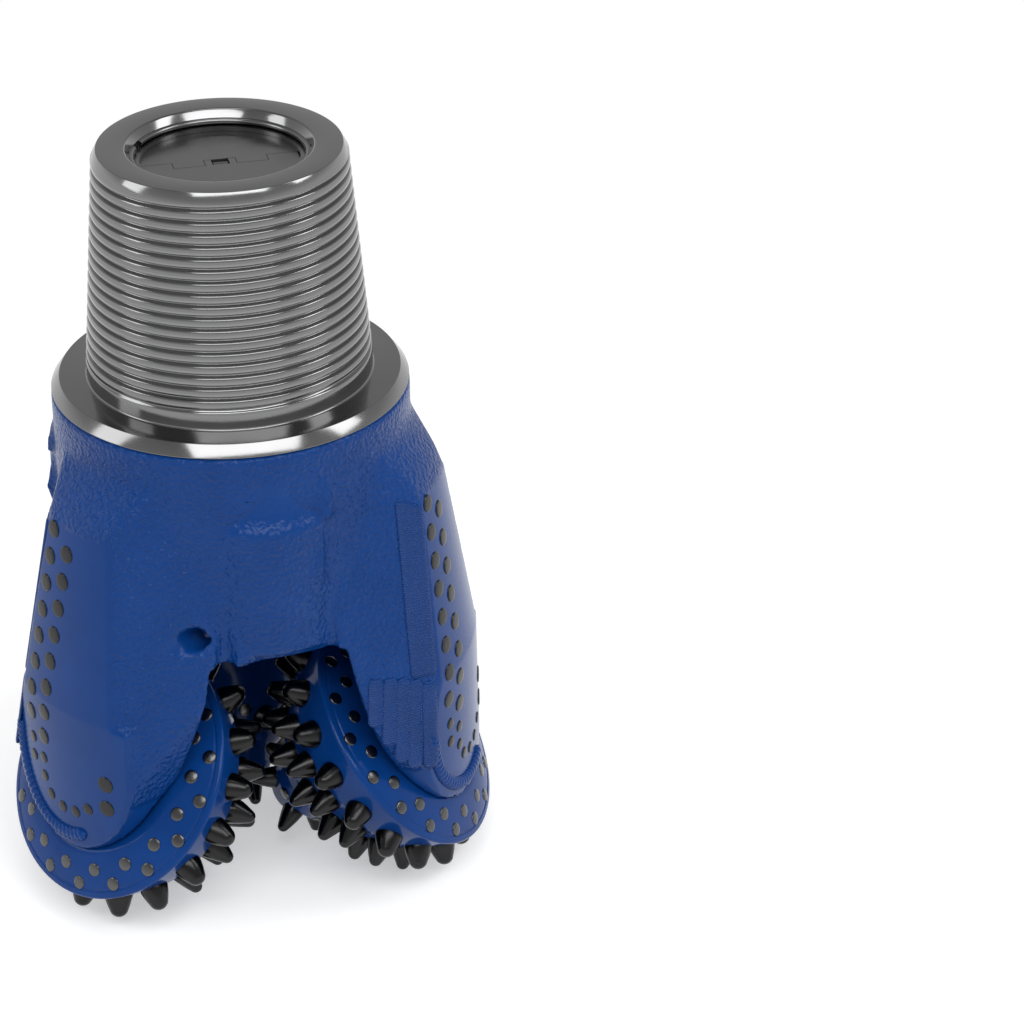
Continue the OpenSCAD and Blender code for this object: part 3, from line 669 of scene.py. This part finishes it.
for k in LEGS:
    edge = [bead(straight(*ends), *EDGE_BEAD) for ends in EDGE_BEADS]
    foot = [bead(straight(*ends), *FOOT_BEAD) for ends in FOOT_BEADS]
    facing = joined(f"hardfacing_{k}", edge + foot, k, PAINT_RIPPLED)
    angles = np.radians(np.linspace(*SKIRT_WELD_ARC, 60))
    round_skirt = [skirt_point(a, SKIRT_WELD_R) for a in angles]
    round_bead = bead(round_skirt, *SKIRT_WELD, ripple=0.36, pitch=3.4, bow=1.8)
    weld = joined(f"skirt_weld_{k}", [round_bead], k, PAINT_GLOSS)
    for piece in (facing, weld):
        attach(piece, BIT)


# Cones, inserts and buttons
OUTER = [(51, 127.5), (67.9, 120.8), (68.3, 120.2), (69.1, 119.9), (69.5, 120.2), (73, 118.8),
         (65.36, 95.3), (55.31, 80.4)]
OUTER_ROUND = [0, 0.3, 0.2, 0.2, 0.3, 1.6, 2.5, 3]
NOSES = {
    1: [(51, 79.2), (48.5, 77.5), (43.5, 69), (43.8, 66.6), (42.6, 65.4), (31.8, 50.5),
        (29.6, 48.8), (22, 40), (19, 33), (14, 30)],
    2: [(53.2, 78.8), (43.9, 66.2), (39.5, 64.2), (31.5, 57), (26.8, 50), (24.2, 44), (23.2, 41),
        (13, 28), (9, 25), (7, 24.4)],
    3: [(51, 79), (36, 60.5), (33.6, 58), (33.2, 53), (21, 37.5), (17, 34.6), (15.6, 31.5),
        (13, 24), (11, 21), (9.4, 16)],
}
CONE_BORE = [(0.05, 44), (21.5, 44), (33.5, 76), (39, 100), (39, 127.5), (51, 127.5)]
OUTER_COUNT = 17
OUTER_STEP = 180 / OUTER_COUNT
# Rows: place along the journal, radius, angle of the land, count, turn
GAUGE_ROW = (102, 67.54, 18, OUTER_COUNT, 0)
SECOND_ROW = (87, 59.77, 34, OUTER_COUNT, OUTER_STEP)
INNER_ROWS = {1: (58, 37.3, 36, 10, 18), 2: (73, 48.9, 37, 14, 0), 3: (44.6, 26.5, 38, 7, 0)}
NOSE_ROWS = {2: (35, 18.3, 38, 5, 0), 3: (16, 0, 90, 1, 0)}
FLUSH_ROWS = {1: (52.2, 32.9, 36, 10, 0), 2: (40.5, 22.8, 38, 5, 36),
              3: (49.4, 30.2, 38, 7, 180 / 7)}
HEEL_ROWS = ((121.7, 65.7, -68.4, OUTER_COUNT, OUTER_STEP), (124.8, 57.8, -68.4, OUTER_COUNT, 0))
INSERT_R = 7.7
INSERT_GRIP = 6
INSERT_FOOT = 0.6
INSERT_BULGE = 0.28
NOSE_INSERT_R = 6.2
NOSE_INSERT_GRIP = 4
DOME_REACH = 12.5
CONE_REACH = 14.0
DOME_TIP_R = 5.3
TIP_R = 3.7
NOSE_TIP_R = 3.3
FLUSH_R = 3.7
FLUSH_GRIP = 3
FLUSH_PROUD = 0.9


def journal_matrix(k):
    """Places journal coordinates, with Z up the journal, in the part's frame. In millimetres."""
    turn = Matrix.Rotation((k - 1) * LEG_TURN, 4, "Z")
    place = Matrix.Translation((CONE_OFFSET, 0, -JOURNAL_DEPTH))
    return turn @ place @ Matrix.Rotation(math.pi / 2 - JOURNAL_ANGLE, 4, "X")


def row_matrices(row):
    """One matrix for each insert of a row: it stands on the land with its Z out of the cone."""
    place, radius, land, count, turn = row
    lean = Matrix.Rotation(math.radians(90 + land), 4, "X")
    for i in range(count):
        spin = Matrix.Rotation(math.radians(turn + i * 360 / count), 4, "Z")
        yield spin @ Matrix.Translation((0, -radius, place)) @ lean


def insert_outline(radius, grip, reach, tip_r):
    """An insert: shank, a slightly convex cone that starts at the land, and a round tip."""
    centre = reach - tip_r
    slope = math.asin((radius - tip_r) / math.hypot(radius - tip_r, centre - INSERT_FOOT)) * 0.8
    angles = np.linspace(slope, math.pi / 2 - 0.01, 10)
    arc = [(tip_r * math.cos(a), centre + tip_r * math.sin(a)) for a in angles]
    side = []
    for t in np.linspace(0, 1, 6)[1:-1]:
        bulge = INSERT_BULGE * math.sin(math.pi * t)
        height = INSERT_FOOT + (arc[0][1] - INSERT_FOOT) * t
        side.append((radius + (arc[0][0] - radius) * t + bulge, height))
    return [(0.01, -grip), (radius, -grip), (radius, INSERT_FOOT)] + side + arc + [(0.01, reach)]


def flush_outline(radius, grip, proud):
    """Button with a low dome."""
    shank = proud * 0.25
    angles = np.linspace(0, math.pi / 2 - 0.02, 8)
    arc = [(radius * math.cos(a), shank + (proud - shank) * math.sin(a)) for a in angles]
    return [(0.01, -grip), (radius, -grip)] + arc + [(0.01, proud)]


def scattered(name, copies, material, segments=40):
    """One object of many revolved pieces, each with an outline and a matrix in millimetres."""
    verts, faces = [], []
    for outline, matrix in copies:
        v, f = revolved(outline, segments)
        rotation = np.array(matrix.to_3x3())
        offset = np.array(matrix.translation)
        start = len(verts)
        verts += [tuple((rotation @ p + offset) * MM) for p in v]
        faces += [tuple(start + i for i in face) for face in f]
    return new_object(name, verts, faces, material, weld=3e-6)


def make_cone(k):
    """The shell of a cone, turned about its journal."""
    nose = NOSES[k]
    outline = OUTER + nose + [(0.05, nose[-1][1])]
    radii = OUTER_ROUND + [1.5] * len(nose) + [0]
    closed = rounded(outline, radii) + [np.array(p, float) for p in CONE_BORE]
    return scattered(f"cone_shell_{k}", [(closed, journal_matrix(k))], PAINT_GLOSS, 144)


for k in LEGS:
    place = journal_matrix(k)
    body = f"cutter_{k}"
    cone = make_cone(k)
    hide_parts(f"cone_{k}")
    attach(cone, body)
    dome = insert_outline(INSERT_R, INSERT_GRIP, DOME_REACH, DOME_TIP_R)
    copies = [(dome, place @ m) for m in row_matrices(GAUGE_ROW)]
    domes = scattered(f"domed_inserts_{k}", copies, CARBIDE)
    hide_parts(f"gauge_inserts_{k}")
    cut = insert_outline(INSERT_R, INSERT_GRIP, CONE_REACH, TIP_R)
    copies = [(cut, place @ m) for row in (SECOND_ROW, INNER_ROWS[k]) for m in row_matrices(row)]
    if k in NOSE_ROWS:
        small = insert_outline(NOSE_INSERT_R, NOSE_INSERT_GRIP, CONE_REACH, NOSE_TIP_R)
        copies += [(small, place @ m) for m in row_matrices(NOSE_ROWS[k])]
    points = scattered(f"conical_inserts_{k}", copies, CARBIDE)
    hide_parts(f"inner_inserts_{k}")
    flush = flush_outline(FLUSH_R, FLUSH_GRIP, FLUSH_PROUD)
    rows = HEEL_ROWS + (FLUSH_ROWS[k],)
    copies = [(flush, place @ m) for row in rows for m in row_matrices(row)]
    buttons = scattered(f"cone_buttons_{k}", copies, HEEL_BUTTON_SHEEN, 28)
    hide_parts(f"heel_buttons_{k}")
    for piece in (domes, points, buttons):
        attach(piece, body)


# Buttons of the leg backs
LARGE_R = 4.8
SMALL_R = 3.3
# Two leaning columns of large buttons, each with two small ones below it at a shift of its own
COLUMNS = ((-18.3, 60.8), (-5.8, 70.4))
COLUMN_COUNT = 8
COLUMN_LEAN = 0.128
COLUMN_PITCH = 16
BELOW_SHIFTS = ((2.7, 0), (0.7, -1.6))
BELOW_PITCH = 11.5
# Large buttons near the trailing edge: sideways place, depth below the bend and step
TRAILING = (27.9, 35, 15)
# Small buttons round the foot, by radius, first angle and step as seen along the journal
FOOT_RING = (29.5, -116, 21)
FOOT_RING_DEPTH = 218
BUTTON_GRIP = 4


def back_matrix(x, depth):
    """Stands on the leg back of leg 1 at a sideways place and depth, with Z out of the metal."""
    radius = back_r(depth)
    turn = Matrix.Rotation(math.asin(x / radius), 4, "Z")
    lean = Matrix.Rotation(math.pi / 2 - back_lean(depth), 4, "X")
    return turn @ Matrix.Translation((0, -radius, -depth)) @ lean


def button_places():
    """Radius, sideways place and depth of every button on the back of leg 1."""
    for x, depth in COLUMNS:
        for i in range(COLUMN_COUNT):
            down = i * COLUMN_PITCH
            yield LARGE_R, x - down * COLUMN_LEAN, depth + down
    below = COLUMN_COUNT * COLUMN_PITCH
    for i in range(2):
        for (x, depth), (aside, lower) in zip(COLUMNS, BELOW_SHIFTS):
            down = below + i * BELOW_PITCH + lower
            yield SMALL_R, x + aside - below * COLUMN_LEAN, depth + down
        yield LARGE_R, TRAILING[0], LEG_BEND + TRAILING[1] + i * TRAILING[2]
    radius, first, step = FOOT_RING
    for i in range(4):
        angle = math.radians(first + step * i)
        x = radius * math.cos(angle) + CONE_OFFSET
        y = radius * math.sin(angle)
        reach = math.sqrt(back_r(FOOT_RING_DEPTH) ** 2 - x * x)
        depth = JOURNAL_DEPTH - (y + reach * math.sin(JOURNAL_ANGLE)) / math.cos(JOURNAL_ANGLE)
        yield SMALL_R, x, depth


def leg_button_outline(radius):
    """Disc with a narrow ground edge and a faint crown."""
    edge = [(radius, -BUTTON_GRIP), (radius, 0.25), (radius - 0.45, 0.62), (radius * 0.5, 0.75),
            (0.01, 0.78)]
    return [(0.01, -BUTTON_GRIP)] + [tuple(p) for p in rounded(edge, [0, 0.12, 0.2, 2, 0], 3)]


for k in LEGS:
    turn = Matrix.Rotation((k - 1) * LEG_TURN, 4, "Z")
    copies = [(leg_button_outline(radius), turn @ back_matrix(x, depth))
              for radius, x, depth in button_places()]
    buttons = scattered(f"back_buttons_{k}", copies, BACK_BUTTON_SHADED, 28)
    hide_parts(f"leg_buttons_{k}")
    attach(buttons, BIT)


# Studio: floor, world, lamps and camera
FLOOR_Z = cad_box[0].z
FLOOR_R = 2.5
FLOOR_WHITE = (0.86, 0.86, 0.86)
FLOOR_LIFT = 0.42
FLOOR_FADE = (0.4, 1.1)
FAR_GLOW = 0.55
# Height of a direction, 0 at the horizon and 1 overhead, and how bright the studio is there
WORLD_STOPS = ((0.05, 1.0), (0.3, 0.55), (0.6, 0.4), (0.8, 0.3))
CAMERA_PLACE = Vector((1.15744, -1.02544, 0.76175))
CAMERA_AIM = Vector((0.10995, 0.10214, -0.08991))
CAMERA_ROLL = math.radians(-0.117)
LENS = 113.08


def make_floor():
    """A round white floor. Its lit middle keeps the shadow and fades into plain white."""
    bpy.ops.mesh.primitive_circle_add(vertices=96, radius=FLOOR_R, fill_type="NGON",
                                      location=(0, 0, FLOOR_Z))
    floor = bpy.context.object
    floor.name = "floor"
    material, shader = principled("floor", FLOOR_WHITE, roughness=0.9, specular=0.1)
    glow = add(material, "ShaderNodeEmission")
    path = add(material, "ShaderNodeLightPath")
    rays = path.outputs
    seen = math_node(material, "MAXIMUM", rays["Is Camera Ray"], rays["Is Glossy Ray"])
    seen = math_node(material, "MAXIMUM", seen, rays["Is Transmission Ray"])
    link(material, math_node(material, "MULTIPLY", seen, FLOOR_LIFT), glow.inputs["Strength"])
    lit = add(material, "ShaderNodeAddShader")
    link(material, shader.outputs[0], lit.inputs[0])
    link(material, glow.outputs[0], lit.inputs[1])
    reach = add(material, "ShaderNodeVectorMath")
    reach.operation = "LENGTH"
    link(material, position(material), reach.inputs[0])
    far = ramp(material, reach.outputs["Value"], 0, 1, *FLOOR_FADE)
    white = add(material, "ShaderNodeEmission")
    link(material, ramp(material, seen, FAR_GLOW, 1.0), white.inputs["Strength"])
    mix = add(material, "ShaderNodeMixShader")
    link(material, far, mix.inputs[0])
    link(material, lit.outputs[0], mix.inputs[1])
    link(material, white.outputs[0], mix.inputs[2])
    output = material.node_tree.nodes["Material Output"]
    link(material, mix.outputs[0], output.inputs["Surface"])
    floor.data.materials.append(material)


def make_world():
    """A pale studio: white low down, where the walls are, and darker overhead."""
    world = bpy.data.worlds.new("studio")
    bpy.context.scene.world = world
    world.use_nodes = True
    tree = world.node_tree
    background = tree.nodes["Background"]
    coordinates = tree.nodes.new("ShaderNodeTexCoord")
    split = tree.nodes.new("ShaderNodeSeparateXYZ")
    tree.links.new(coordinates.outputs["Generated"], split.inputs[0])
    colors = tree.nodes.new("ShaderNodeValToRGB")
    stops = colors.color_ramp
    stops.elements[0].position = 0.0
    stops.elements[0].color = (1, 1, 1, 1)
    stops.elements[1].position = 1.0
    stops.elements[1].color = (0.3, 0.3, 0.3, 1)
    for place, level in WORLD_STOPS:
        stop = stops.elements.new(place)
        stop.color = (level, level, level, 1)
    tree.links.new(split.outputs["Z"], colors.inputs["Fac"])
    tree.links.new(colors.outputs["Color"], background.inputs["Color"])
    background.inputs["Strength"].default_value = 1.0


def lamp(name, turn, rise, distance, size, power):
    """A softbox that faces the part, turned to the right of the camera and raised, in degrees."""
    front = math.atan2(CAMERA_PLACE.y, CAMERA_PLACE.x) + math.radians(turn)
    rise = math.radians(rise)
    level = math.cos(rise)
    place = distance * Vector((level * math.cos(front), level * math.sin(front), math.sin(rise)))
    data = bpy.data.lights.new(name, "AREA")
    data.shape = "RECTANGLE"
    data.size, data.size_y = size
    data.energy = power
    obj = bpy.data.objects.new(name, data)
    obj.location = place
    obj.rotation_mode = "QUATERNION"
    obj.rotation_quaternion = (-place).to_track_quat("-Z", "Y")
    bpy.context.scene.collection.objects.link(obj)


def make_camera():
    data = bpy.data.cameras.new("camera")
    data.lens = LENS
    data.sensor_width = 36
    camera = bpy.data.objects.new("camera", data)
    camera.location = CAMERA_PLACE
    camera.rotation_mode = "QUATERNION"
    aim = (CAMERA_AIM - CAMERA_PLACE).to_track_quat("-Z", "Y")
    roll = Matrix.Rotation(CAMERA_ROLL, 4, "Z").to_quaternion()
    camera.rotation_quaternion = aim @ roll
    bpy.context.scene.collection.objects.link(camera)
    bpy.context.scene.camera = camera


make_floor()
make_world()
lamp("front", turn=8, rise=47, distance=2.0, size=(2.2, 0.8), power=23)
lamp("left", turn=-85, rise=27, distance=2.0, size=(0.7, 1.0), power=6)
lamp("right", turn=80, rise=38, distance=2.0, size=(0.6, 1.0), power=8)
lamp("top", turn=0, rise=88, distance=1.8, size=(1.0, 1.0), power=4)
make_camera()
bpy.context.scene.view_settings.view_transform = "Standard"
